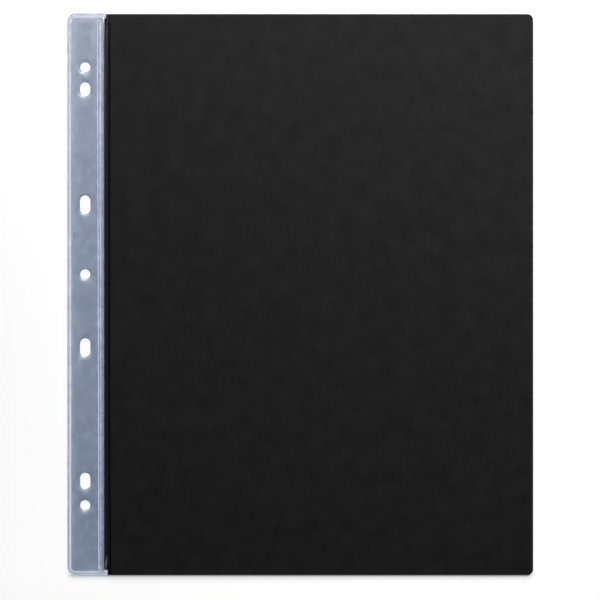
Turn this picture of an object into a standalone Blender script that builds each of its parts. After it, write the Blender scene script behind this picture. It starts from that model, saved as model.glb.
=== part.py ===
# Album refill page: a black card leaf gripped along its left edge by a clear, welded and punched binding strip.
# The page lies on its back, in metres: +X runs right across the page, +Y up it and +Z out of its front face.

import math

import bpy

MM = 0.001

# Whole page
PAGE_WIDTH = 243.0 * MM
PAGE_HEIGHT = 292.6 * MM
STRIP_CORNER_RADIUS = 4.2 * MM
CARD_CORNER_RADIUS = 3.0 * MM
ARC_STEPS = 12

# Thicknesses of the sheets, and the gap left between two that touch
FILM_THICKNESS = 0.20 * MM
CARD_THICKNESS = 0.50 * MM
BOND_THICKNESS = 0.10 * MM
HINGE_THICKNESS = 0.40 * MM
SCORE_THICKNESS = 0.20 * MM
GAP = 0.05 * MM

# Widths across the page, in order from the outer edge of the strip to the leaf
RIM_WIDTH = 2.0 * MM
PUNCHED_WIDTH = 14.5 * MM
WELD_BAR_WIDTH = 1.3 * MM
HINGE_WIDTH = 1.3 * MM
FLANGE_WIDTH = 2.1 * MM
SCORE_WIDTH = 1.1 * MM

# The leaf's gripped corners are cut away for the fused tabs of the strip: width and height of each cut
TOP_TAB = (0.85 * MM, 2.3 * MM)
BOTTOM_TAB = (1.95 * MM, 3.1 * MM)

# Binding holes: each is an offset from the middle hole and a length along the strip
HOLE_WIDTH = 5.3 * MM
HOLE_INSET = 9.4 * MM
MIDDLE_HOLE_Y = 10.5 * MM
THREE_RING_PITCH = 108.0 * MM
BINDING_HOLES = (
    (THREE_RING_PITCH, HOLE_WIDTH),
    (96.6 * MM, 7.2 * MM),
    (36.35 * MM, 9.75 * MM),
    (0.0, HOLE_WIDTH),
    (-38.2 * MM, 9.75 * MM),
    (-107.8 * MM, 8.6 * MM),
    (-120.45 * MM, HOLE_WIDTH),
)

# Finishes: colour, roughness and transmission
FINISHES = {
    "clear_film": ((0.23, 0.27, 0.35), 0.25, 0.5),
    "fused_film": ((0.62, 0.66, 0.72), 0.30, 0.5),
    "bonding_line": ((0.03, 0.03, 0.03), 0.50, 0.0),
    "black_card": ((0.016, 0.016, 0.016), 0.60, 0.0),
}

TOP = PAGE_HEIGHT / 2
BOTTOM = -PAGE_HEIGHT / 2
LEFT = -PAGE_WIDTH / 2
RIGHT = PAGE_WIDTH / 2


def spans_from(start, widths):
    """Left and right edge of each width in turn, with the gap between neighbours."""
    spans = []
    for width in widths:
        spans.append((start, start + width))
        start += width + GAP
    return spans


RIM, PUNCHED, WELD_BAR, HINGE, FLANGE, SCORE = spans_from(
    LEFT, (RIM_WIDTH, PUNCHED_WIDTH, WELD_BAR_WIDTH, HINGE_WIDTH, FLANGE_WIDTH, SCORE_WIDTH)
)
LEAF = (SCORE[1] + GAP, RIGHT)

# Heights of the layers where the two flanges grip the leaf, from the back up
REAR_FLANGE_Z = 0.0
REAR_BOND_Z = REAR_FLANGE_Z + FILM_THICKNESS + GAP
CARD_Z = REAR_BOND_Z + BOND_THICKNESS + GAP
FRONT_BOND_Z = CARD_Z + CARD_THICKNESS + GAP
FRONT_FLANGE_Z = FRONT_BOND_Z + BOND_THICKNESS + GAP
MIDDLE_Z = CARD_Z + CARD_THICKNESS / 2

# The strip is centred on the leaf: its two films lie back to back, and its welds are as thick as both
FRONT_FILM_Z = MIDDLE_Z + GAP / 2
REAR_FILM_Z = MIDDLE_Z - GAP / 2 - FILM_THICKNESS
WELD_THICKNESS = 2 * FILM_THICKNESS + GAP

# The leaf turns on the film web, and folds along the scored line
HINGE_AXIS = (sum(HINGE) / 2, 0.0, MIDDLE_Z)
SCORE_AXIS = (sum(SCORE) / 2, 0.0, MIDDLE_Z)


def clear_scene():
    for thing in list(bpy.data.objects):
        bpy.data.objects.remove(thing, do_unlink=True)


def make_collection(name):
    collection = bpy.data.collections.new(name)
    bpy.context.scene.collection.children.link(collection)
    return collection


def make_finish(name):
    colour, roughness, transmission = FINISHES[name]
    finish = bpy.data.materials.new(name)
    finish.use_nodes = True
    shader = finish.node_tree.nodes["Principled BSDF"]
    shader.inputs["Base Color"].default_value = (*colour, 1.0)
    shader.inputs["Roughness"].default_value = roughness
    shader.inputs["Metallic"].default_value = 0.0
    shader.inputs["Transmission Weight"].default_value = transmission
    return finish


def arc(centre, radius, start, end):
    """Points on a circle from one angle to another, in degrees."""
    angles = (math.radians(start + (end - start) * step / ARC_STEPS) for step in range(ARC_STEPS + 1))
    return [(centre[0] + radius * math.cos(a), centre[1] + radius * math.sin(a)) for a in angles]


def rectangle(across, along, right_radius=0.0):
    """Outline of a rectangle, with its two right corners rounded where a radius is given."""
    (x0, x1), (y0, y1) = across, along
    if not right_radius:
        return [(x0, y0), (x1, y0), (x1, y1), (x0, y1)]
    inner = x1 - right_radius
    return [
        (x0, y0),
        *arc((inner, y0 + right_radius), right_radius, -90, 0),
        *arc((inner, y1 - right_radius), right_radius, 0, 90),
        (x0, y1),
    ]


def mirrored(outline):
    """The outline turned over about the page's middle line, still running the same way round."""
    return [(x, -y) for x, y in reversed(outline)]


def slot(x, y, width, length):
    """Outline of a hole with round ends; a round hole is as long as it is wide."""
    radius = width / 2
    straight = (length - width) / 2
    upper = arc((x, y + straight), radius, 0, 180)
    lower = arc((x, y - straight), radius, 180, 360)
    if straight:
        return upper + lower
    return upper + lower[1:-1]


def punched_film():
    """Outline of the strip's film inside the rim, with the corners beside the rim rounded to fit it."""
    radius = STRIP_CORNER_RADIUS - RIM_WIDTH - GAP
    left, right = PUNCHED
    end = TOP - RIM_WIDTH - GAP
    corner = arc((left + radius, end - radius), radius, 90, 180)
    upper = [(right, end), *corner]
    return upper + mirrored(upper)


def binding_holes():
    x = LEFT + HOLE_INSET
    return [slot(x, MIDDLE_HOLE_Y + offset, HOLE_WIDTH, length) for offset, length in BINDING_HOLES]


def rim_arm():
    """Outline of the welded rim along the top of the strip and round its corner, as far as the hinge."""
    corner = (LEFT + STRIP_CORNER_RADIUS, TOP - STRIP_CORNER_RADIUS)
    outer = arc(corner, STRIP_CORNER_RADIUS, 90, 180)
    inner = arc(corner, STRIP_CORNER_RADIUS - RIM_WIDTH, 180, 90)
    return [(WELD_BAR[1], TOP), *outer, *inner, (WELD_BAR[1], TOP - RIM_WIDTH)]


def weld_bar():
    """Outline of the bar that welds the films together beside the leaf, with round ends."""
    return slot(sum(WELD_BAR) / 2, 0.0, WELD_BAR_WIDTH, PAGE_HEIGHT - 2 * RIM_WIDTH - 2 * GAP)


def gripped_margin():
    """Outline of the edge of the leaf inside the strip, with its two corners cut away for the tabs."""
    (left, right), (top_width, top_height) = FLANGE, TOP_TAB
    bottom_width, bottom_height = BOTTOM_TAB
    return [
        (left, BOTTOM + bottom_height),
        (left + bottom_width, BOTTOM + bottom_height),
        (left + bottom_width, BOTTOM),
        (right, BOTTOM),
        (right, TOP),
        (left + top_width, TOP),
        (left + top_width, TOP - top_height),
        (left, TOP - top_height),
    ]


def top_tab():
    width, height = TOP_TAB
    return rectangle((FLANGE[0], FLANGE[0] + width - GAP), (TOP - height + GAP, TOP))


def bottom_tab():
    width, height = BOTTOM_TAB
    return rectangle((FLANGE[0], FLANGE[0] + width - GAP), (BOTTOM, BOTTOM + height - GAP))


def bond_span():
    return (FLANGE, (BOTTOM + BOTTOM_TAB[1], TOP - TOP_TAB[1]))


def add_body(collection, name, location, parent=None):
    """An empty that carries one body's pieces, on the axis that the body turns about."""
    body = bpy.data.objects.new(name, None)
    collection.objects.link(body)
    body.parent = parent
    carried_from = parent.location if parent else (0.0, 0.0, 0.0)
    body.location = [place - base for place, base in zip(location, carried_from)]
    return body


def add_sheet(body, axis, name, outline, bottom, thickness, finish, holes=()):
    """A flat sheet: an outline and its holes, filled and extruded, with its underside at the given height."""
    curve = bpy.data.curves.new(name, "CURVE")
    curve.dimensions = "2D"
    curve.fill_mode = "BOTH"
    curve.extrude = thickness / 2
    for ring in (outline, *holes):
        spline = curve.splines.new("POLY")
        spline.points.add(len(ring) - 1)
        for point, (x, y) in zip(spline.points, ring):
            point.co = (x, y, 0.0, 1.0)
        spline.use_cyclic_u = True
    curve.materials.append(finish)
    sheet = bpy.data.objects.new(name, curve)
    body.users_collection[0].objects.link(sheet)
    sheet.parent = body
    sheet.location = (-axis[0], -axis[1], bottom + thickness / 2 - axis[2])
    return sheet


def build_strip(body, finishes):
    """The punched films, their welded rim and weld bar, and the web that the leaf turns on."""
    film, fused = finishes["clear_film"], finishes["fused_film"]
    here = (0.0, 0.0, 0.0)
    for name, bottom in (("strip_front_film", FRONT_FILM_Z), ("strip_rear_film", REAR_FILM_Z)):
        add_sheet(body, here, name, punched_film(), bottom, FILM_THICKNESS, film, binding_holes())
    straight_rim = rectangle(RIM, (BOTTOM + STRIP_CORNER_RADIUS + GAP, TOP - STRIP_CORNER_RADIUS - GAP))
    welds = {
        "outer_edge_weld": straight_rim,
        "top_edge_weld": rim_arm(),
        "bottom_edge_weld": mirrored(rim_arm()),
        "weld_bar": weld_bar(),
    }
    for name, outline in welds.items():
        add_sheet(body, here, name, outline, REAR_FILM_Z, WELD_THICKNESS, fused)
    web_bottom = MIDDLE_Z - HINGE_THICKNESS / 2
    add_sheet(body, here, "hinge_web", rectangle(HINGE, (BOTTOM, TOP)), web_bottom, HINGE_THICKNESS, film)


def build_margin(body, finishes):
    """The gripped edge of the leaf between the two flanges, and the thin web left under the scored line."""
    film, fused, bond, card = (
        finishes[name] for name in ("clear_film", "fused_film", "bonding_line", "black_card")
    )
    flange = rectangle(FLANGE, (BOTTOM, TOP))
    add_sheet(body, HINGE_AXIS, "rear_flange", flange, REAR_FLANGE_Z, FILM_THICKNESS, film)
    add_sheet(body, HINGE_AXIS, "front_flange", flange, FRONT_FLANGE_Z, FILM_THICKNESS, film)
    add_sheet(body, HINGE_AXIS, "rear_bond", rectangle(*bond_span()), REAR_BOND_Z, BOND_THICKNESS, bond)
    add_sheet(body, HINGE_AXIS, "front_bond", rectangle(*bond_span()), FRONT_BOND_Z, BOND_THICKNESS, bond)
    add_sheet(body, HINGE_AXIS, "card_margin", gripped_margin(), CARD_Z, CARD_THICKNESS, card)
    tab_thickness = FRONT_FLANGE_Z - GAP - REAR_BOND_Z
    add_sheet(body, HINGE_AXIS, "top_tab_weld", top_tab(), REAR_BOND_Z, tab_thickness, fused)
    add_sheet(body, HINGE_AXIS, "bottom_tab_weld", bottom_tab(), REAR_BOND_Z, tab_thickness, fused)
    web_bottom = MIDDLE_Z - SCORE_THICKNESS / 2
    add_sheet(body, HINGE_AXIS, "score_web", rectangle(SCORE, (BOTTOM, TOP)), web_bottom, SCORE_THICKNESS, card)


def build_leaf(body, finishes):
    """The free part of the leaf, with its two outer corners rounded."""
    outline = rectangle(LEAF, (BOTTOM, TOP), CARD_CORNER_RADIUS)
    add_sheet(body, SCORE_AXIS, "leaf_card", outline, CARD_Z, CARD_THICKNESS, finishes["black_card"])


clear_scene()
page = make_collection("album_refill_page")
finishes = {name: make_finish(name) for name in FINISHES}
strip_body = add_body(page, "binding_strip", (0.0, 0.0, 0.0))
margin_body = add_body(page, "leaf_margin", HINGE_AXIS, strip_body)
leaf_body = add_body(page, "leaf", SCORE_AXIS, margin_body)
build_strip(strip_body, finishes)
build_margin(margin_body, finishes)
build_leaf(leaf_body, finishes)
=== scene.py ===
import math

import bpy
import numpy as np
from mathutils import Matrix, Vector


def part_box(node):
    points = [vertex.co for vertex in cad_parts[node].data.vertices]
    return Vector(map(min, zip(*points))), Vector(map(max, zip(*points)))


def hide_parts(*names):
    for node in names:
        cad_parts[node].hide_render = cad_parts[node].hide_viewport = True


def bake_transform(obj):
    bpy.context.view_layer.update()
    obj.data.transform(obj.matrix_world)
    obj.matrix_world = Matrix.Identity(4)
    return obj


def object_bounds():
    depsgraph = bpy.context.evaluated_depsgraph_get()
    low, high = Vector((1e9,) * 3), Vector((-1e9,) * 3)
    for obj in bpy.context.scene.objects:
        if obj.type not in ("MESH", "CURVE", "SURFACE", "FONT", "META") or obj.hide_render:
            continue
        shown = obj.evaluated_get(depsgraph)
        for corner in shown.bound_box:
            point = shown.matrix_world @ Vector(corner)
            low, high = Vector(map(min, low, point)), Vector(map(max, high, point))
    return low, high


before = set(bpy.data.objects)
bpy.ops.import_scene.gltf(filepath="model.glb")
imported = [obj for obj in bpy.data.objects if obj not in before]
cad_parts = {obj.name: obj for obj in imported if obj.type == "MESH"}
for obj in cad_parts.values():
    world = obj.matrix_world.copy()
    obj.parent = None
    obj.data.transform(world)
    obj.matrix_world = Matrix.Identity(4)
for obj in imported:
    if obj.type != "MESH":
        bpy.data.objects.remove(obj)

# Looks of the album refill page: two clear films welded into a punched strip, and the card leaf they grip.
# Lengths are in metres, in the model's own frame: +X right across the page, +Y up it, +Z out of its front.

mm = 0.001
cadBox = [list(corner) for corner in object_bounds()]
pageLow, pageHigh = (np.array(corner) for corner in cadBox)
scene = bpy.context.scene
scene.view_settings.view_transform = "Standard"


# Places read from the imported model, so that every piece sits where its solid is
def boxOf(node):
    low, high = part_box(node)
    return np.array(low), np.array(high)


filmLow, filmHigh = boxOf("strip_front_film")
barLow, barHigh = boxOf("weld_bar")
hingeLow, hingeHigh = boxOf("hinge_web")
flangeLow, flangeHigh = boxOf("front_flange")
marginLow, marginHigh = boxOf("card_margin")
scoreLow, scoreHigh = boxOf("score_web")
leafLow, leafHigh = boxOf("leaf_card")
topTabLow, topTabHigh = boxOf("top_tab_weld")
bottomTabLow, bottomTabHigh = boxOf("bottom_tab_weld")
pageLeft, pageRight = pageLow[0], pageHigh[0]
pageBottom, pageTop = pageLow[1], pageHigh[1]
midHeight = (marginLow[2] + marginHigh[2]) / 2
rimWidth = filmLow[0] - pageLeft


# Shared shapes of curve, all on whole arrays

# Eased step: 0 before start, 1 after end, t*t*(3 - 2t) between them
def easedStep(start, end, value):
    t = np.clip((value - start) / (end - start), 0.0, 1.0)
    return t * t * (3.0 - 2.0 * t)


# Soft edge: an eased step whose start and end are counted from a line
def softEdge(line, edge, value):
    return easedStep(line + edge[0], line + edge[1], value)


# Hump: half a cosine wave, 1 at the centre and 0 at half a width to either side
def hump(centre, width, value):
    t = np.clip(np.abs(value - centre) / (width / 2), 0.0, 1.0)
    return 0.5 + 0.5 * np.cos(math.pi * t)


# Evenly spaced stations through a list of marks, each stretch with its own step
def stations(marks, steps):
    runs = []
    for first, last, step in zip(marks[:-1], marks[1:], steps):
        count = max(1, int(round(abs(last - first) / step)))
        runs.append(np.linspace(first, last, count, endpoint=False))
    return np.concatenate([*runs, marks[-1:]])


# Quads of a grid of rows by columns, counter-clockwise seen from the front
def gridQuads(columns, rows):
    index = np.arange(columns * rows).reshape(rows, columns)
    corners = (index[:-1, :-1], index[:-1, 1:], index[1:, 1:], index[1:, :-1])
    return index, np.stack(corners, axis=-1)


sharpAngle = math.radians(50)    # edges that turn further than this stay sharp


# Closed sheet over a plan: the front at one height, the back at another, and a wall round every open edge
def closedSheet(name, plan, quads, front, back, masks):
    count = len(plan)
    points = np.concatenate([np.column_stack([plan, front]), np.column_stack([plan, back])])
    starts = quads.ravel()
    ends = np.roll(quads, -1, axis=1).ravel()
    single = ~np.isin(ends * count + starts, starts * count + ends)
    a, b = starts[single], ends[single]
    walls = np.column_stack([b, a, a + count, b + count])
    faces = np.concatenate([quads, quads[:, ::-1] + count, walls])
    mesh = bpy.data.meshes.new(name)
    mesh.from_pydata(points.tolist(), [], faces.tolist())
    for maskName, values in masks.items():
        layer = mesh.attributes.new(maskName, "FLOAT", "POINT")
        layer.data.foreach_set("value", np.tile(values, 2).astype(np.float32))
    mesh.shade_smooth()
    mesh.set_sharp_from_angle(angle=sharpAngle)
    piece = bpy.data.objects.new(name, mesh)
    scene.collection.objects.link(piece)
    print(f"{name}: {len(faces)} faces")
    return piece


# Clear strip film: the sheet from the page's outer edge to the flange on the leaf, with holes and welds
film = {
    "cornerRadius": 4.2 * mm,
    "thickness": filmHigh[2] - filmLow[2],
    "edgeRound": 0.14 * mm,      # run of the rounding at the cut edge and at the flange's edge
    "flangeRound": 0.06 * mm,
    "edgeShare": 0.4,            # share of the thickness that is left there
    "topSpare": 0.46 * mm,       # how far the film reaches past the card at the top
    "tabSpare": 0.30 * mm,       # play between the card's cut corner and the top tab
    "tabCurve": 0.6 * mm,        # length of the curve into a cut corner
    "pillowHeight": 0.18 * mm,   # how far the loose film stands off between the welds
    "pillowRun": 5.0 * mm,
    "pillowLoss": 0.5,           # share of it that is lost near the top
    "weldPress": 0.05 * mm,      # depth that the welding bar leaves
    "rimBand": 1.02 * mm,        # outer, pressed part of the rim; the bead fills the rest
    "beadHeight": 0.07 * mm,
    "beadLean": 0.12 * mm,       # higher on the page the bead lies nearer to the edge
    "leanRise": (0.4, 0.9),      # from the first to the second share of the page's height
    "beadThin": 1.2,             # and is thinner by its lean times this
    "topBead": 0.46 * mm,        # extra width along the top
    "barBottom": -141.0 * mm,    # the pressed bar stops short of the rims
    "barTop": 143.4 * mm,
    "barLip": (0.12 * mm, 0.5 * mm),  # middle and width of the lip beside it
    "lipShare": 0.2,             # height of that lip and of the ridge, as shares of the bead's
    "ridgeShare": 0.6,
    "ridgeX": -105.35 * mm,
    "ridgeWidth": 0.75 * mm,
    "ridgeSlant": 0.0024,        # the ridge runs a little nearer to the leaf at the bottom
    "grooveOff": 0.62 * mm,      # unpressed groove between the ridge and the bar
    "grooveWidth": 0.95 * mm,
    "grooveShare": 0.85,
    "climbRun": 0.85 * mm,       # stretch over which the film climbs on to the leaf
    "climbCut": 3.0 / mm,        # that stretch is shorter where the leaf's corner is cut back
    "flangeCrown": 0.09 * mm,    # fall of the flange from its crown to its edges
    "crownSpread": 1.5,          # width of the crown, in widths of the flange
    "crownStray": 0.25 * mm,     # the crown wanders to the left in the upper third
    "strayMiddle": 109.0 * mm,
    "strayLength": 90.0 * mm,
    "crestWidth": 2.4 * mm,      # painted highlight along the crown, where the film is also rougher
    "crestLoss": 0.6,
    "glowRun": 2.2 * mm,         # reach of the light that the rim sends into the film
    "puckerX": -102.65 * mm,     # pale pucker where the web runs into the top tab
    "puckerWidth": 1.5 * mm,
    "puckerRun": 3.5 * mm,
    "puckerTop": 1.5 * mm,
    "slack": 0.3 * mm,           # below that tab the bond starts further in
    "slackRun": 6.0 * mm,
    "slackStart": 0.6 * mm,
    "highlightSpot": (-101.15 * mm, -140.0 * mm),  # spot low on the flange that the bond leaves unwetted, so that the film is painted paler there: a painted highlight
    "highlightSlant": 0.10,
    "highlightSize": (0.30 * mm, 3.0 * mm),
    "highlightShare": 0.85,
    "rimShade": 0.48,            # shade that the rim casts, as a share of the bar's
    # soft edges: where each starts and ends, counted from the line it belongs to
    "soft": {
        "spare": (-0.3 * mm, 0.0),
        "cutEdge": (0.15 * mm, 0.55 * mm),
        "band": (-0.15 * mm, 0.1 * mm),
        "beadStart": (-0.1 * mm, 0.2 * mm),
        "beadEnd": (-0.2 * mm, 0.1 * mm),
        "bar": (-0.38 * mm, -0.06 * mm),
        "ridge": (0.0, 1.0 * mm),
        "ridgeHeight": (0.0, 3.0 * mm),
        "web": (-0.1 * mm, 0.1 * mm),
        "tail": (1.0 * mm, -0.5 * mm),
        "tailSide": (-0.1 * mm, 0.2 * mm),
        "flange": (-0.3 * mm, 0.2 * mm),
        "tab": (-0.05 * mm, 0.1 * mm),
        "bonded": (-0.13 * mm, 0.07 * mm),
        "crestTop": (-7.0 * mm, -4.5 * mm),
        "nearTop": (-16.0 * mm, -4.0 * mm),
        "topRim": (-6.0 * mm, -3.0 * mm),
        "lowEnd": (5.0 * mm, 2.0 * mm),
        "lowEdge": (1.6 * mm, 0.5 * mm),
    },
    # how pale a band is, from 0 for plain film to 1 for a clear weld, then what it gains with the height on
    # the page from 0 to 1, with the square of that height, near the top, and at the low end. These gains are
    # painted light and shade along the page, and part of the bead's paleness is a painted highlight on its
    # slope
    "pale": {
        "band": (0.42, 0.24, -0.20, 0.0, 0.12),
        "cutEdge": (0.78, 0.0, -0.44, 0.0, 0.32),
        "bead": (1.0, -0.36, 0.0, -0.03, -0.24),
        "beadOnWeb": (0.0, 0.0, 0.0, -0.12, -0.2),
        "ridge": (0.98, -0.36, 0.0, -0.08, -0.25),
        "whole": (1.06, -0.18, 0.0, 0.0, 0.0),
    },
    "barPale": 0.65,
    "tailPale": 0.40,            # below the bar's lower end
    "webPale": 0.11,
    "climbPale": 0.14,           # added where the web climbs on to the leaf
    "topTabPale": 0.38,
    "lowTabPale": (0.92, 0.35),  # and what it loses at its lower edge; its paleness there is mostly a painted highlight
    "glowPale": 0.22,
    "puckerPale": 0.95,
    # grid: how far its fine parts reach in from the edges, and its steps
    "fineEdge": 0.3 * mm,
    "fineRim": 2.6 * mm,
    "fineBar": 2.0 * mm,
    "fineFlange": 0.2 * mm,
    "endZone": 9.0 * mm,         # stretch at either end whose rows bend into the corners
    "columnSteps": np.array([0.06, 0.16, 0.32, 0.6, 0.16, 0.05]) * mm,
    "rowSteps": np.array([0.06, 0.16, 0.3, 0.8, 0.3, 0.16, 0.06]) * mm,
}
holes = {
    "width": 5.3 * mm,
    "x": -112.1 * mm,
    "margin": 2.2 * mm,          # film kept round each hole before the grid takes over
    "rings": (0.0, 0.02, 0.08, 0.17, 0.28, 0.42, 0.60),  # shares of the way from its edge to the grid
    "dip": 0.34 * mm,            # the punch leaves each edge turned down, steepest at the hole
    "dipRun": 2.2 * mm,
    "dipLean": 0.35,             # and more so on its lower side
    "lip": 0.32 * mm,            # that side is also drawn a little into the hole
    "holeLightPatch": 0.34,               # painted light: the film is painted paler below each hole, where the lamps' light comes through it
    "lightPatchRun": 2.9 * mm,
    "lightPatchLow": 1.4,             # more so low on the page, less so higher up
    "lightPatchFall": 0.4,
    # middle of each hole along the strip, and its length
    "list": (
        (118.5 * mm, 5.3 * mm), (107.1 * mm, 7.2 * mm), (46.85 * mm, 9.75 * mm), (10.5 * mm, 5.3 * mm),
        (-27.7 * mm, 9.75 * mm), (-97.3 * mm, 8.6 * mm), (-109.95 * mm, 5.3 * mm),
    ),
}


# Left edge of the leaf: straight, but stepped to the right at both ends, where its corners are cut away
def leafLeftEdge(y):
    topCut = easedStep(topTabLow[1] - film["tabCurve"] / 2, topTabLow[1] + film["tabCurve"] / 2, y)
    bottomCut = easedStep(bottomTabHigh[1], bottomTabHigh[1] - film["tabCurve"], y)
    topWidth, bottomWidth = topTabHigh[0] - topTabLow[0], bottomTabHigh[0] - bottomTabLow[0]
    return marginLow[0] + topCut * (topWidth + film["tabSpare"]) + bottomCut * bottomWidth


# Depth inside an outline with rounded corners on one side: to the arc near a corner, else to the nearest edge
def depthInside(x, y, edgeX, radius, inward, top):
    alongX = (x - edgeX) * inward
    alongY = np.minimum(top - y, y - pageBottom)
    nearX, nearY = radius - alongX, radius - alongY
    corner = (nearX > 0) & (nearY > 0)
    return np.where(corner, radius - np.hypot(nearX, nearY), np.minimum(alongX, alongY))


# Squeeze of the rows into a rounded corner: a column ends on the arc, and the squeeze fades over the end zone
def squeezeToCorner(x, y, edgeX, radius, inward, zone):
    near = np.clip(radius - (x - edgeX) * inward, 0.0, radius)
    drop = radius - np.sqrt(radius * radius - near * near)
    plain = pageTop - zone
    beyond = np.clip((np.abs(y) - plain) / zone, 0.0, 1.0)
    return np.where(np.abs(y) > plain, np.sign(y) * (plain + beyond * (zone - drop)), y)


# The strip reaches past the card at the top, its flange does not
def topSpare(x):
    return film["topSpare"] * (1.0 - softEdge(topTabHigh[0] + film["tabSpare"], film["soft"]["spare"], x))


# Rings round a hole: points of the grid's border slide towards the hole's middle line as far as its edge, and
# those on the lower side are drawn up by lip * down * (1 - share)^2, where down is 1 straight below the hole
def holeRings(outer, middle, length):
    radius = holes["width"] / 2
    straight = (length - holes["width"]) / 2
    spine = np.column_stack([
        np.full(len(outer), holes["x"]), np.clip(outer[:, 1], middle - straight, middle + straight)])
    away = outer - spine
    edge = spine + away / np.linalg.norm(away, axis=1)[:, None] * radius
    share = np.array(holes["rings"])[:, None, None]
    rings = edge[None] + (outer - edge)[None] * share
    down = np.clip((spine - edge)[:, 1] / radius, 0.0, 1.0)
    rings[:, :, 1] += holes["lip"] * down * (1.0 - share[:, :, 0]) ** 2
    return rings


# Plan of the film: a grid whose cells round each hole give way to rings that run from the grid to its edge
def filmPlan():
    fine, rim, end, zone = film["fineEdge"], film["fineRim"], pageTop, film["endZone"]
    columns = stations(
        np.array([pageLeft, pageLeft + fine, pageLeft + rim, pageLeft + film["cornerRadius"],
                  filmHigh[0] - film["fineBar"], flangeHigh[0] - film["fineFlange"], flangeHigh[0]]),
        film["columnSteps"])
    rows = stations(
        np.array([-end, -end + fine, -end + rim, -end + zone, end - zone, end - rim, end - fine, end]),
        film["rowSteps"])
    x, y = np.meshgrid(columns, rows)
    y = squeezeToCorner(x, y, pageLeft, film["cornerRadius"], 1, zone)
    y = y + topSpare(x) * easedStep(end - zone, end - film["cornerRadius"], y)
    index, quads = gridQuads(len(columns), len(rows))
    kept = np.ones(quads.shape[:2], bool)
    plan = [np.column_stack([x.ravel(), y.ravel()])]
    faces = []
    used = len(plan[0])
    for middle, length in holes["list"]:
        reachX = holes["width"] / 2 + holes["margin"]
        reachY = length / 2 + holes["margin"]
        i = np.searchsorted(columns, [holes["x"] - reachX, holes["x"] + reachX])
        j = np.searchsorted(rows, [middle - reachY, middle + reachY])
        kept[j[0]:j[1], i[0]:i[1]] = False
        block = index[j[0]:j[1] + 1, i[0]:i[1] + 1]
        border = np.concatenate([block[0, :-1], block[:-1, -1], block[-1, :0:-1], block[:0:-1, 0]])
        rings = holeRings(plan[0][border], middle, length)
        plan.append(rings.reshape(-1, 2))
        loops = np.arange(rings.shape[0] * rings.shape[1]).reshape(rings.shape[:2]) + used
        used += loops.size
        loops = np.concatenate([loops, border[None]])
        onward = np.roll(loops, -1, axis=1)
        faces.append(np.stack([loops[1:], onward[1:], onward[:-1], loops[:-1]], axis=-1).reshape(-1, 4))
    allQuads = np.concatenate([quads[kept], *faces])
    names, packed = np.unique(allQuads, return_inverse=True)
    return np.concatenate(plan)[names], packed.reshape(-1, 4)


# Dip of the film beside the holes: dip * (1 - e / run)^2 * (1 + lean * down) at a distance e from a hole's
# edge, lip included, where down is 1 straight below the hole and -1 above it. The painted light below a hole,
# a paler patch that stands for the lamps' light through it, is (1 - e / run)^1.5 * down
def besideHoles(x, y):
    middles, lengths = np.array(holes["list"]).T
    straight = (lengths - holes["width"]) / 2
    along = np.clip(y[:, None], middles - straight, middles + straight)
    away = np.hypot(x[:, None] - holes["x"], y[:, None] - along)
    down = (along - y[:, None]) / away
    fromEdge = away - holes["width"] / 2 + holes["lip"] * np.clip(down, 0.0, 1.0)
    near = np.clip(1.0 - fromEdge / holes["dipRun"], 0.0, 1.0)
    dip = holes["dip"] * near ** 2 * (1.0 + holes["dipLean"] * down)
    near = np.clip(1.0 - fromEdge / holes["lightPatchRun"], 0.0, 1.0)
    holeLightPatch = near ** 1.5 * np.clip(down, 0.0, 1.0)
    return dip.max(axis=1), holeLightPatch.max(axis=1)


# Crown of the flange: down its middle, with a stray to the left that rises and falls as a hump
def crownMiddle(y):
    stray = film["crownStray"] * hump(film["strayMiddle"], film["strayLength"], y)
    return (flangeLow[0] + flangeHigh[0]) / 2 - stray


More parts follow.
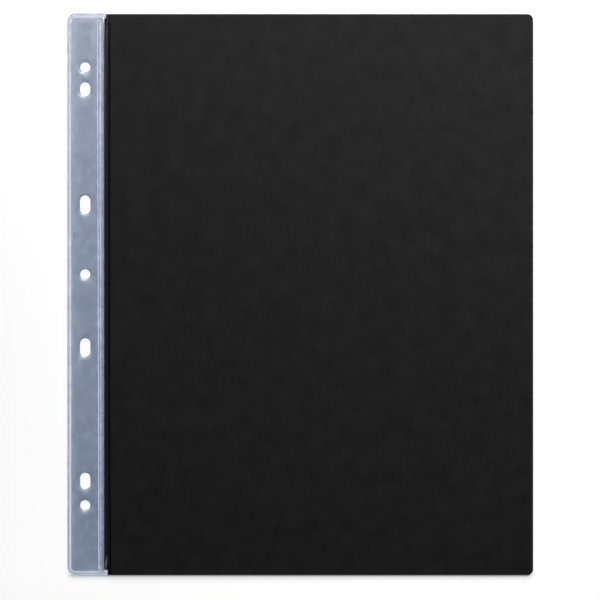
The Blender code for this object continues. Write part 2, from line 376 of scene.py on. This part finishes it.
# Bands of the film, each 1 where it lies and 0 elsewhere: soft edges on the depth inside the outline, on
# the distance to the leaf, on the distance to the bar's middle line, or on the place itself. The depth, the
# height on the page from 0 to 1 and the distance to the leaf are handed on with them
def filmBands(x, y):
    soft = film["soft"]
    depth = depthInside(x, y, pageLeft, film["cornerRadius"], 1, pageTop + topSpare(x))
    rise = (y - pageBottom) / (pageTop - pageBottom)
    toLeaf = x - leafLeftEdge(y)
    climbRun = film["climbRun"] / (1.0 + film["climbCut"] * (leafLeftEdge(y) - marginLow[0]))
    onLeaf = easedStep(-climbRun, 0.0, toLeaf)
    topRim = softEdge(pageTop, soft["topRim"], y)
    lean = film["beadLean"] * easedStep(*film["leanRise"], rise) * (1.0 - topRim)
    bandEnd = film["rimBand"] - lean
    beadEnd = rimWidth - film["beadThin"] * lean + film["topBead"] * topRim
    bead = softEdge(bandEnd, soft["beadStart"], depth) * (1.0 - softEdge(beadEnd, soft["beadEnd"], depth))
    # the bar's middle line ends half a width before its ends, which makes them round
    barHalf = (barHigh[0] - barLow[0]) / 2
    along = np.clip(y, film["barBottom"] + barHalf, film["barTop"] - barHalf)
    fromBar = np.hypot(x - (barLow[0] + barHigh[0]) / 2, y - along)
    lipMiddle, lipWidth = film["barLip"]
    fromRidge = x - film["ridgeX"] + film["ridgeSlant"] * y
    groove = film["grooveShare"] * hump(film["grooveOff"], film["grooveWidth"], fromRidge)
    flange = softEdge(marginLow[0], soft["flange"], x)
    web = softEdge(barLow[0], soft["web"], x)
    tailSide = 1.0 - softEdge(barHigh[0], soft["tailSide"], x)
    return {
        "depth": depth,
        "rise": rise,
        "toLeaf": toLeaf,
        "onLeaf": onLeaf,
        "band": 1.0 - softEdge(bandEnd, soft["band"], depth),
        "cutEdge": 1.0 - softEdge(0.0, soft["cutEdge"], depth),
        "bead": bead * (1.0 - onLeaf),
        "bar": (1.0 - softEdge(barHalf, soft["bar"], fromBar)) * (1.0 - groove),
        "barLip": hump(barHalf + lipMiddle, lipWidth, fromBar),
        "ridge": hump(0.0, film["ridgeWidth"], fromRidge) * softEdge(rimWidth, soft["ridge"], depth),
        "ridgeHeight": softEdge(rimWidth, soft["ridgeHeight"], depth),
        "flange": flange,
        "tab": flange * (1.0 - softEdge(0.0, soft["tab"], toLeaf)),
        "web": web,
        "tail": web * softEdge(film["barBottom"], soft["tail"], y) * tailSide,
        "nearTop": softEdge(pageTop, soft["nearTop"], y),
        "lowEnd": softEdge(pageBottom, soft["lowEnd"], y),
    }


# Relief of the film: the underside is flat on the welds, bulges between them as the product of
# 1 - (1 - t)^2 from the rim and from the bar, and climbs on to the leaf by an eased step. The upper side
# adds the thickness, less the pressed bands and the fall beside the crown, plus bead, ridge and lip. At the
# edges a quarter circle rounds it off
def filmRelief(x, y, bands):
    fromRim = np.clip((bands["depth"] - rimWidth) / film["pillowRun"], 0.0, 1.0)
    toBar = np.clip((barLow[0] - x) / film["pillowRun"], 0.0, 1.0)
    pillow = film["pillowHeight"] * (1.0 - film["pillowLoss"] * bands["nearTop"])
    pillow = pillow * (1.0 - (1.0 - fromRim) ** 2) * (1.0 - (1.0 - toBar) ** 2)
    under = filmLow[2] + pillow + (flangeLow[2] - filmLow[2]) * bands["onLeaf"]
    pressed = np.maximum(bands["band"] * (1.0 - bands["onLeaf"]), bands["bar"])
    raised = (
        bands["bead"]
        + film["ridgeShare"] * bands["ridge"] * bands["ridgeHeight"]
        + film["lipShare"] * bands["barLip"] * (1.0 - bands["bar"])
    )
    fall = 1.0 - hump(crownMiddle(y), film["crownSpread"] * (flangeHigh[0] - flangeLow[0]), x)
    thickness = (
        film["thickness"]
        - film["weldPress"] * pressed
        + film["beadHeight"] * raised
        - film["flangeCrown"] * fall * bands["flange"]
    )
    edgeShare = np.clip(bands["depth"] / film["edgeRound"], 0.0, 1.0)
    rightShare = np.clip((flangeHigh[0] - x) / film["flangeRound"], 0.0, 1.0)
    rounding = np.sqrt(1.0 - (1.0 - np.minimum(edgeShare, rightShare)) ** 2)
    return under, under + thickness * (film["edgeShare"] + (1.0 - film["edgeShare"]) * rounding)


# How pale a band is at each point: its settings, weighted with the height on the page and with its two ends
def palenessOf(name, bands):
    base, withRise, withSquare, atTop, atLow = film["pale"][name]
    rise = bands["rise"]
    onTheWay = base + withRise * rise + withSquare * rise ** 2
    return onTheWay + atTop * bands["nearTop"] + atLow * bands["lowEnd"]


# Paleness of the film: the palest band at each point, or the glow beside the rim, which falls off as
# exp(-depth / run), or the pucker, which falls off in the same way below the top tab
def filmPaleness(x, y, bands):
    lowTabPale, lowTabLoss = film["lowTabPale"]
    lowTab = lowTabPale - lowTabLoss * softEdge(pageBottom, film["soft"]["lowEdge"], y)
    bead = palenessOf("bead", bands) + palenessOf("beadOnWeb", bands) * bands["web"]
    glow = film["glowPale"] * np.exp(-np.clip(bands["depth"] - rimWidth, 0.0, None) / film["glowRun"])
    pale = np.maximum.reduce([
        palenessOf("band", bands) * bands["band"],
        palenessOf("cutEdge", bands) * bands["cutEdge"],
        bead * bands["bead"],
        palenessOf("ridge", bands) * bands["ridge"],
        film["barPale"] * bands["bar"],
        film["tailPale"] * bands["tail"],
        (film["webPale"] + film["climbPale"] * bands["onLeaf"]) * bands["web"],
        np.where(y > 0.0, film["topTabPale"], lowTab) * bands["tab"],
        glow * (x < hingeHigh[0]),
    ])
    pucker = hump(film["puckerX"], film["puckerWidth"], x) * (y < topTabHigh[1] - film["puckerTop"])
    pucker = pucker * np.exp(-np.clip(topTabLow[1] - y, 0.0, None) / film["puckerRun"])
    return np.maximum(pale * palenessOf("whole", bands), film["puckerPale"] * pucker)


# Where the bond wets the film: right of the leaf's edge, further in by a slack that fades below the top tab,
# and hardly on a spot low on the flange, which is exp(-(across / width)^2 - (along / length)^4). That spot
# shows the paler loose film, a painted highlight
def filmBonded(x, y, bands):
    fromTab = np.clip(topTabLow[1] - y, 0.0, None)
    slack = film["slack"] * np.exp(-fromTab / film["slackRun"]) * easedStep(0.0, film["slackStart"], fromTab)
    # painted highlight: a spot where the bond is taken off, so the film shows paler
    along = y - film["highlightSpot"][1]
    across = x - film["highlightSpot"][0] - film["highlightSlant"] * along
    width, length = film["highlightSize"]
    highlightSpot = film["highlightShare"] * np.exp(-(across / width) ** 2 - (along / length) ** 4)
    return softEdge(0.0, film["soft"]["bonded"], bands["toLeaf"] - slack) * (1.0 - highlightSpot)


# Masks that the film's material reads
def filmMasks(x, y, bands):
    rimShade = film["rimShade"] * np.maximum(bands["band"], bands["bead"])
    crestLoss = film["crestLoss"] * softEdge(pageTop, film["soft"]["crestTop"], y)
    return {
        "weld": filmPaleness(x, y, bands),
        "bonded": filmBonded(x, y, bands),
        # painted highlight along the crown, weaker near the top; the same mask makes the film rougher there
        "crestHighlightAndGloss": hump(crownMiddle(y), film["crestWidth"], x) * bands["flange"] * (1.0 - crestLoss),
        "pressed": np.maximum(rimShade, bands["bar"]) * (1.0 - bands["flange"]),
        "rise": bands["rise"],
    }


def buildFilms():
    plan, quads = filmPlan()
    x, y = plan.T
    bands = filmBands(x, y)
    under, upper = filmRelief(x, y, bands)
    masks = filmMasks(x, y, bands)
    dip, holeLightPatch = besideHoles(x, y)
    # painted light below each hole, added to the weld paleness
    lightPatchShare = holes["holeLightPatch"] * (holes["lightPatchLow"] - holes["lightPatchFall"] * bands["rise"])
    masks["weld"] = np.maximum(masks["weld"], lightPatchShare * holeLightPatch)
    frontFilm = closedSheet("front_film", plan, quads, upper - dip, under - dip, masks)
    mirrored = 2 * midHeight - dip
    rearFilm = closedSheet("rear_film", plan, quads, mirrored - under, mirrored - upper, masks)
    for piece in (frontFilm, rearFilm):
        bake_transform(piece)
    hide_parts("strip_front_film", "front_flange", "hinge_web", "weld_bar", "outer_edge_weld",
                "top_edge_weld", "bottom_edge_weld", "top_tab_weld", "bottom_tab_weld")
    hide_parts("strip_rear_film", "rear_flange")
    return frontFilm, rearFilm


# Card leaf: one board with its cut corners in the strip, the scored line and the two rounded outer corners
card = {
    "cornerRadius": 3.0 * mm,
    "edgeEase": 0.09 * mm,
    "edgeFade": 2.6 * mm,        # reach of the paler tone along the cut edges, a painted highlight
    "scoreEdge": (0.36 * mm, 0.62 * mm),     # soft edge of the scored line, from its middle
    "scoreTop": (-3.4 * mm, -5.4 * mm),      # the line starts a little below the top
    "scoreStray": 0.35 * mm,     # and wanders to the right at the bottom, between these two heights
    "strayRun": (-88.0 * mm, -135.0 * mm),
    # grid: how far its fine parts reach, and its steps
    "fineEdge": 0.12 * mm,
    "beforeScore": 0.1 * mm,
    "afterScore": 0.7 * mm,
    "leftZone": 12 * mm,
    "rightZone": 10 * mm,
    "endZone": 5.0 * mm,
    "cutSqueeze": 2.9 * mm,      # how far the columns give way beside a cut corner
    "arcStations": 25,
    "columnSteps": np.array([0.04, 0.2, 0.07, 1.5, 6.0, 2.0]) * mm,
    "rowSteps": np.array([0.04, 0.12, 6.0, 0.12, 0.04]) * mm,
}


# Plan of the leaf: a grid whose left columns follow the cut corners and whose end rows follow the round ones
def leafPlan():
    left, right, end = marginLow[0], pageRight, pageTop
    radius, fine, zone = card["cornerRadius"], card["fineEdge"], card["endZone"]
    columns = stations(
        np.array([left, left + fine, scoreLow[0] - card["beforeScore"], scoreHigh[0] + card["afterScore"],
                  left + card["leftZone"], right - card["rightZone"], right - radius]),
        card["columnSteps"])
    turn = np.linspace(0.0, 1.0, card["arcStations"])[1:] * math.pi / 2
    columns = np.concatenate([columns, right - radius * (1.0 - np.sin(turn))])
    rows = stations(np.array([-end, -end + fine, -end + zone, end - zone, end - fine, end]), card["rowSteps"])
    x, y = np.meshgrid(columns, rows)
    cut = leafLeftEdge(y) - left
    x = x + cut * np.clip(1.0 - (x - left) / card["cutSqueeze"], 0.0, 1.0)
    y = squeezeToCorner(x, y, right, radius, -1, zone)
    quads = gridQuads(len(columns), len(rows))[1]
    return np.column_stack([x.ravel(), y.ravel()]), quads.reshape(-1, 4)


# Relief of the leaf: half the board's thickness, eased by a quarter circle at its edges, less the score
def buildLeaf():
    plan, quads = leafPlan()
    x, y = plan.T
    depth = np.minimum(depthInside(x, y, pageRight, card["cornerRadius"], -1, pageTop), x - leafLeftEdge(y))
    share = np.clip(depth / card["edgeEase"], 0.0, 1.0)
    stray = card["scoreStray"] * easedStep(*card["strayRun"], y)
    fromScore = np.abs(x - (scoreLow[0] + scoreHigh[0]) / 2 - stray)
    score = (1.0 - softEdge(0.0, card["scoreEdge"], fromScore)) * softEdge(pageTop, card["scoreTop"], y)
    half = (leafHigh[2] - leafLow[2]) / 2
    pressed = half - (scoreHigh[2] - scoreLow[2]) / 2
    half = half - pressed * score - card["edgeEase"] * (1.0 - np.sqrt(1.0 - (1.0 - share) ** 2))
    # the score mask also paints shade into the crease
    masks = {"score": score, "edge": np.clip(1.0 - depth / card["edgeFade"], 0.0, 1.0)}
    leaf = closedSheet("card_leaf", plan, quads, midHeight + half, midHeight - half, masks)
    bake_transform(leaf)
    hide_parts("card_margin", "score_web", "leaf_card")
    return leaf


# Materials

def newMaterial(name):
    material = bpy.data.materials.new(name)
    material.use_nodes = True
    nodes, links = material.node_tree.nodes, material.node_tree.links
    return material, nodes, links, nodes["Principled BSDF"]


def maskValue(nodes, name):
    node = nodes.new("ShaderNodeAttribute")
    node.attribute_name = name
    return node.outputs["Fac"]


def mathNode(nodes, links, operation, first, second, third=None):
    node = nodes.new("ShaderNodeMath")
    node.operation = operation
    for socket, value in zip(node.inputs, (first, second, third)):
        if isinstance(value, bpy.types.NodeSocket):
            links.new(value, socket)
        elif value is not None:
            socket.default_value = value
    return node.outputs["Value"]


def mapRange(nodes, links, value, *limits):
    node = nodes.new("ShaderNodeMapRange")
    links.new(value, node.inputs["Value"])
    for name, limit in zip(("From Min", "From Max", "To Min", "To Max"), limits):
        node.inputs[name].default_value = limit
    return node.outputs["Result"]


def mixColour(nodes, links, factor, first, second):
    node = nodes.new("ShaderNodeMix")
    node.data_type = "RGBA"
    links.new(factor, node.inputs[0])
    for socket, value in zip(node.inputs[6:8], (first, second)):  # the node's two colour sockets
        if isinstance(value, bpy.types.NodeSocket):
            links.new(value, socket)
        else:
            socket.default_value = (*value, 1.0)
    return node.outputs[2]


mottle = {
    "inputs": {"Cloud Scale": 200.0, "Grain Scale": 2500.0, "Stretch": 1.0},
    "detail": {"Cloud": 4.0, "Grain": 2.0},
    "roughness": 0.6,
    "mean": 0.5,                 # of the noise, taken off it
}


# Cloud and grain: soft blotches and fine specks on Object coordinates, each about 0 in the mean
def cloudGroup():
    group = bpy.data.node_groups.new("cloudAndGrain", "ShaderNodeTree")
    face = group.interface
    for name, value in mottle["inputs"].items():
        face.new_socket(name, in_out="INPUT", socket_type="NodeSocketFloat").default_value = value
    for name in mottle["detail"]:
        face.new_socket(name, in_out="OUTPUT", socket_type="NodeSocketFloat")
    nodes, links = group.nodes, group.links
    inside, outside = nodes.new("NodeGroupInput"), nodes.new("NodeGroupOutput")
    place = nodes.new("ShaderNodeTexCoord")
    stretch = nodes.new("ShaderNodeCombineXYZ")
    stretch.inputs["X"].default_value = stretch.inputs["Z"].default_value = 1.0
    links.new(inside.outputs["Stretch"], stretch.inputs["Y"])
    scaled = nodes.new("ShaderNodeVectorMath")
    scaled.operation = "MULTIPLY"
    links.new(place.outputs["Object"], scaled.inputs[0])
    links.new(stretch.outputs["Vector"], scaled.inputs[1])
    for name, detail in mottle["detail"].items():
        noise = nodes.new("ShaderNodeTexNoise")
        noise.inputs["Detail"].default_value = detail
        noise.inputs["Roughness"].default_value = mottle["roughness"]
        links.new(scaled.outputs["Vector"], noise.inputs["Vector"])
        links.new(inside.outputs[name + " Scale"], noise.inputs["Scale"])
        centred = mathNode(nodes, links, "SUBTRACT", noise.outputs["Fac"], mottle["mean"])
        links.new(centred, outside.inputs[name])
    return group


def addGroup(nodes, group, values):
    node = nodes.new("ShaderNodeGroup")
    node.node_tree = group
    for name, value in values.items():
        node.inputs[name].default_value = value
    return node


filmLook = {
    "cool": (0.430, 0.485, 0.577),    # tint of the film low on the page, and high on it, where it is also darker: painted shade that tempers the lamps' stronger light high up
    "warmAndShaded": (0.408, 0.445, 0.512),
    "hue": 1.2,                       # how much of the one strays into the other
    "weldCool": (0.935, 0.965, 1.0),  # tint of its welds, low and high
    "weldWarm": (0.985, 0.980, 1.0),
    "bonded": (0.009, 0.009, 0.010),  # film wetted by the dark bond on the leaf, and the paler colour along its crown, a painted highlight
    "crown": (0.036, 0.036, 0.037),
    "lampTint": (0.84, 0.85, 0.87),   # what one face lets through of the lamps' light, and what a weld's does
    "lampWeld": (0.55, 0.57, 0.60),
    "roughness": 0.20,
    "grain": 0.06,                    # roughness that comes and goes with the grain
    "crestRough": 0.15,
    "bondedGloss": 0.07,
    "haze": 0.60,                     # paleness that comes and goes with the clouds, and its mean
    "hazeMean": 0.045,
    "through": 0.70,                  # share of the light that passes, and the refractive index
    "bending": 1.49,
    "clouds": {"Cloud Scale": 300.0, "Grain Scale": 1500.0, "Stretch": 0.8},
    "drift": {"Cloud Scale": 170.0, "Stretch": 0.5},
}


def filmMaterial(group):
    material, nodes, links, shader = newMaterial("clear_strip_film")
    clouds = addGroup(nodes, group, filmLook["clouds"])
    drift = addGroup(nodes, group, filmLook["drift"])
    rise, crestHighlightAndGloss = maskValue(nodes, "rise"), maskValue(nodes, "crestHighlightAndGloss")
    bonded, pressed = maskValue(nodes, "bonded"), maskValue(nodes, "pressed")
    cloud, grain = clouds.outputs["Cloud"], clouds.outputs["Grain"]
    haze = mathNode(nodes, links, "MULTIPLY_ADD", cloud, filmLook["haze"], filmLook["hazeMean"])
    weld = mathNode(nodes, links, "ADD", maskValue(nodes, "weld"), haze)
    # the film's tint drifts at random and with the height on the page; its darkening high up is painted shade
    warmthAndShade = mathNode(nodes, links, "MULTIPLY_ADD", drift.outputs["Cloud"], filmLook["hue"], rise)
    tint = mixColour(nodes, links, warmthAndShade, filmLook["cool"], filmLook["warmAndShaded"])
    weldTint = mixColour(nodes, links, rise, filmLook["weldCool"], filmLook["weldWarm"])
    loose = mixColour(nodes, links, weld, tint, weldTint)
    # a painted highlight along the flange's crown
    wetted = mixColour(nodes, links, crestHighlightAndGloss, filmLook["bonded"], filmLook["crown"])
    links.new(mixColour(nodes, links, bonded, loose, wetted), shader.inputs["Base Color"])
    rough = mathNode(nodes, links, "MULTIPLY_ADD", grain, filmLook["grain"], filmLook["roughness"])
    peak = mathNode(nodes, links, "MULTIPLY", crestHighlightAndGloss, crestHighlightAndGloss)
    rough = mathNode(nodes, links, "MULTIPLY_ADD", peak, filmLook["crestRough"], rough)
    rough = mathNode(nodes, links, "MULTIPLY_ADD", bonded, -filmLook["bondedGloss"], rough)
    links.new(rough, shader.inputs["Roughness"])
    shader.inputs["Transmission Weight"].default_value = filmLook["through"]
    shader.inputs["IOR"].default_value = filmLook["bending"]
    # lamps shine through the film to the floor
    path = nodes.new("ShaderNodeLightPath")
    clear = nodes.new("ShaderNodeBsdfTransparent")
    passed = mixColour(nodes, links, pressed, filmLook["lampTint"], filmLook["lampWeld"])
    links.new(passed, clear.inputs["Color"])
    mix = nodes.new("ShaderNodeMixShader")
    links.new(path.outputs["Is Shadow Ray"], mix.inputs["Fac"])
    links.new(shader.outputs["BSDF"], mix.inputs[1])
    links.new(clear.outputs["BSDF"], mix.inputs[2])
    links.new(mix.outputs["Shader"], nodes["Material Output"].inputs["Surface"])
    return material


cardLook = {
    "black": (0.0104, 0.0104, 0.0106),
    "pale": (0.0188, 0.0188, 0.0190),
    # the scored line's colour is painted shade in its crease
    "scored": (0.0012, 0.0012, 0.0013),
    "paleMean": 0.33,                 # share of the pale tone, and what clouds, grain and edges add to it; what the edges add is a painted highlight
    "cloudShare": 1.5,
    "grainShare": 0.6,
    "edgeShare": 0.35,
    "roughness": 0.60,
    "roughShare": 0.12,
    "sheen": 0.08,
    "bumpStrength": 0.25,
    "bumpHeight": 0.05 * mm,
    "clouds": {"Cloud Scale": 100.0, "Grain Scale": 2200.0},
}


def cardMaterial(group):
    material, nodes, links, shader = newMaterial("black_board")
    clouds = addGroup(nodes, group, cardLook["clouds"])
    cloud, grain = clouds.outputs["Cloud"], clouds.outputs["Grain"]
    pale = mathNode(nodes, links, "MULTIPLY_ADD", cloud, cardLook["cloudShare"], cardLook["paleMean"])
    pale = mathNode(nodes, links, "MULTIPLY_ADD", grain, cardLook["grainShare"], pale)
    # painted highlight: paler along the cut edges
    pale = mathNode(nodes, links, "MULTIPLY_ADD", maskValue(nodes, "edge"), cardLook["edgeShare"], pale)
    board = mixColour(nodes, links, pale, cardLook["black"], cardLook["pale"])
    # painted shade along the scored crease
    scored = mixColour(nodes, links, maskValue(nodes, "score"), board, cardLook["scored"])
    links.new(scored, shader.inputs["Base Color"])
    rough = mathNode(nodes, links, "MULTIPLY_ADD", cloud, cardLook["roughShare"], cardLook["roughness"])
    links.new(rough, shader.inputs["Roughness"])
    shader.inputs["Specular IOR Level"].default_value = cardLook["sheen"]
    bump = nodes.new("ShaderNodeBump")
    bump.inputs["Strength"].default_value = cardLook["bumpStrength"]
    bump.inputs["Distance"].default_value = cardLook["bumpHeight"]
    links.new(grain, bump.inputs["Height"])
    links.new(bump.outputs["Normal"], shader.inputs["Normal"])
    return material


bondLook = {
    "dark": (0.006, 0.006, 0.006),
    "wet": (0.014, 0.014, 0.014),
    "wetMean": 0.5,
    "roughness": 0.35,
    "roughShare": 0.3,
    "clouds": {"Cloud Scale": 700.0, "Grain Scale": 3000.0},
}


def bondMaterial(group):
    material, nodes, links, shader = newMaterial("dark_bond")
    cloud = addGroup(nodes, group, bondLook["clouds"]).outputs["Cloud"]
    wet = mathNode(nodes, links, "ADD", cloud, bondLook["wetMean"])
    links.new(mixColour(nodes, links, wet, bondLook["dark"], bondLook["wet"]), shader.inputs["Base Color"])
    rough = mathNode(nodes, links, "MULTIPLY_ADD", cloud, bondLook["roughShare"], bondLook["roughness"])
    links.new(rough, shader.inputs["Roughness"])
    return material


# Stage, lamps and camera
stage = {
    "floorSide": 24.0,
    "floorColour": (0.97, 0.97, 0.97),
    "floorHeight": -0.27 * mm,   # a page never lies quite flat
    "glow": (0.43, 0.05),        # white that the eye sees besides the lit floor, at the page's bottom and top
    "farWhite": (0.35, 1.1),     # distances from the page between which the floor turns plain white
    "contact": (3.2 * mm, 1.2 * mm),  # reach of the shade along the bottom edge, below strip and card
    "contactDepth": (4.1, 3.0),  # and its depth there
    "contactTurn": 1.0 * mm,     # stretch over which the one turns into the other
    "contactEnd": 0.2 * mm,      # how far that shade reaches in under the page
    "world": 0.08,
}
lamps = {                        # all of them look at the middle of the page
    "low_softbox": {"place": (-0.022, 0.633, 0.261), "size": (0.25, 0.25), "power": 4.0},
    "high_softbox": {"place": (-0.024, 0.533, 0.687), "size": (0.19, 0.61), "power": 3.0},
    "side_softbox": {"place": (0.359, 0.184, 0.257), "size": (0.17, 0.24), "power": 0.87},
}
photo = {
    "width": 312.83 * mm,        # how much of the page's plane the square picture spans
    "centre": (-0.08 * mm, -2.86 * mm),
    "lens": 135.0,
}


# White floor: lit by the lamps, plus a glow that only the eye sees, directly, mirrored or through the film.
# The glow is the larger of a ramp up the page and a ramp away from it, less the shade along the bottom edge
def floorMaterial():
    material, nodes, links, shader = newMaterial("pale_floor")
    shader.inputs["Base Color"].default_value = (*stage["floorColour"], 1.0)
    shader.inputs["Roughness"].default_value = 1.0
    shader.inputs["Specular IOR Level"].default_value = 0.0
    path = nodes.new("ShaderNodeLightPath")
    seen = mathNode(nodes, links, "MAXIMUM", path.outputs["Is Camera Ray"], path.outputs["Is Glossy Ray"])
    seen = mathNode(nodes, links, "MAXIMUM", seen, path.outputs["Is Transmission Ray"])
    place = nodes.new("ShaderNodeTexCoord")
    split = nodes.new("ShaderNodeSeparateXYZ")
    links.new(place.outputs["Object"], split.inputs["Vector"])
    fade = mapRange(nodes, links, split.outputs["Y"], pageBottom, pageTop, *stage["glow"])
    away = nodes.new("ShaderNodeVectorMath")
    away.operation = "LENGTH"
    links.new(place.outputs["Object"], away.inputs[0])
    far = mapRange(nodes, links, away.outputs["Value"], *stage["farWhite"], 0.0, 1.0)
    turn = (bottomTabHigh[0] - stage["contactTurn"], bottomTabHigh[0])
    reach = mapRange(nodes, links, split.outputs["X"], *turn, *stage["contact"])
    deep = mapRange(nodes, links, split.outputs["X"], *turn, *stage["contactDepth"])
    inward = pageBottom + stage["contactEnd"]
    below = mapRange(nodes, links, split.outputs["Y"], pageBottom, inward, 1.0, 0.0)
    touch = nodes.new("ShaderNodeAmbientOcclusion")
    links.new(reach, touch.inputs["Distance"])
    shade = mathNode(nodes, links, "SUBTRACT", 1.0, touch.outputs["AO"])
    shade = mathNode(nodes, links, "MULTIPLY", shade, below)
    shade = mathNode(nodes, links, "MULTIPLY", shade, deep)
    shade = mathNode(nodes, links, "MINIMUM", shade, 1.0)
    kept = mathNode(nodes, links, "SUBTRACT", 1.0, shade)
    white = mathNode(nodes, links, "MULTIPLY", kept, mathNode(nodes, links, "MAXIMUM", fade, far))
    glow = nodes.new("ShaderNodeEmission")
    links.new(mathNode(nodes, links, "MULTIPLY", seen, white), glow.inputs["Strength"])
    both = nodes.new("ShaderNodeAddShader")
    links.new(shader.outputs["BSDF"], both.inputs[0])
    links.new(glow.outputs["Emission"], both.inputs[1])
    links.new(both.outputs["Shader"], nodes["Material Output"].inputs["Surface"])
    return material


def buildFloor():
    half = stage["floorSide"] / 2
    corners = [(-half, -half), (half, -half), (half, half), (-half, half)]
    mesh = bpy.data.meshes.new("floor")
    mesh.from_pydata([(x, y, stage["floorHeight"]) for x, y in corners], [], [(0, 1, 2, 3)])
    mesh.materials.append(floorMaterial())
    floor = bpy.data.objects.new("floor", mesh)
    scene.collection.objects.link(floor)


def buildLamps():
    world = bpy.data.worlds.new("studio")
    world.use_nodes = True
    background = world.node_tree.nodes["Background"]
    background.inputs["Strength"].default_value = stage["world"]
    background.inputs["Color"].default_value = (1.0, 1.0, 1.0, 1.0)
    scene.world = world
    for name, lamp in lamps.items():
        data = bpy.data.lights.new(name, "AREA")
        data.shape = "RECTANGLE"
        data.size, data.size_y = lamp["size"]
        data.energy = lamp["power"]
        holder = bpy.data.objects.new(name, data)
        holder.location = lamp["place"]
        holder.rotation_euler = (-Vector(lamp["place"])).to_track_quat("-Z", "Y").to_euler()
        scene.collection.objects.link(holder)


def buildCamera():
    data = bpy.data.cameras.new("photo_camera")
    data.lens = photo["lens"]
    camera = bpy.data.objects.new("photo_camera", data)
    distance = photo["width"] / data.sensor_width * data.lens
    camera.location = (*photo["centre"], pageHigh[2] + distance)
    scene.collection.objects.link(camera)
    scene.camera = camera


print("films")
frontFilm, rearFilm = buildFilms()
print("leaf")
leaf = buildLeaf()
print("materials")
clouds = cloudGroup()
clearFilm = filmMaterial(clouds)
for piece in (frontFilm, rearFilm):
    piece.data.materials.append(clearFilm)
leaf.data.materials.append(cardMaterial(clouds))
darkBond = bondMaterial(clouds)
for name in ("front_bond", "rear_bond"):
    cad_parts[name].data.materials.clear()
    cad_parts[name].data.materials.append(darkBond)
print("stage")
buildFloor()
buildLamps()
buildCamera()
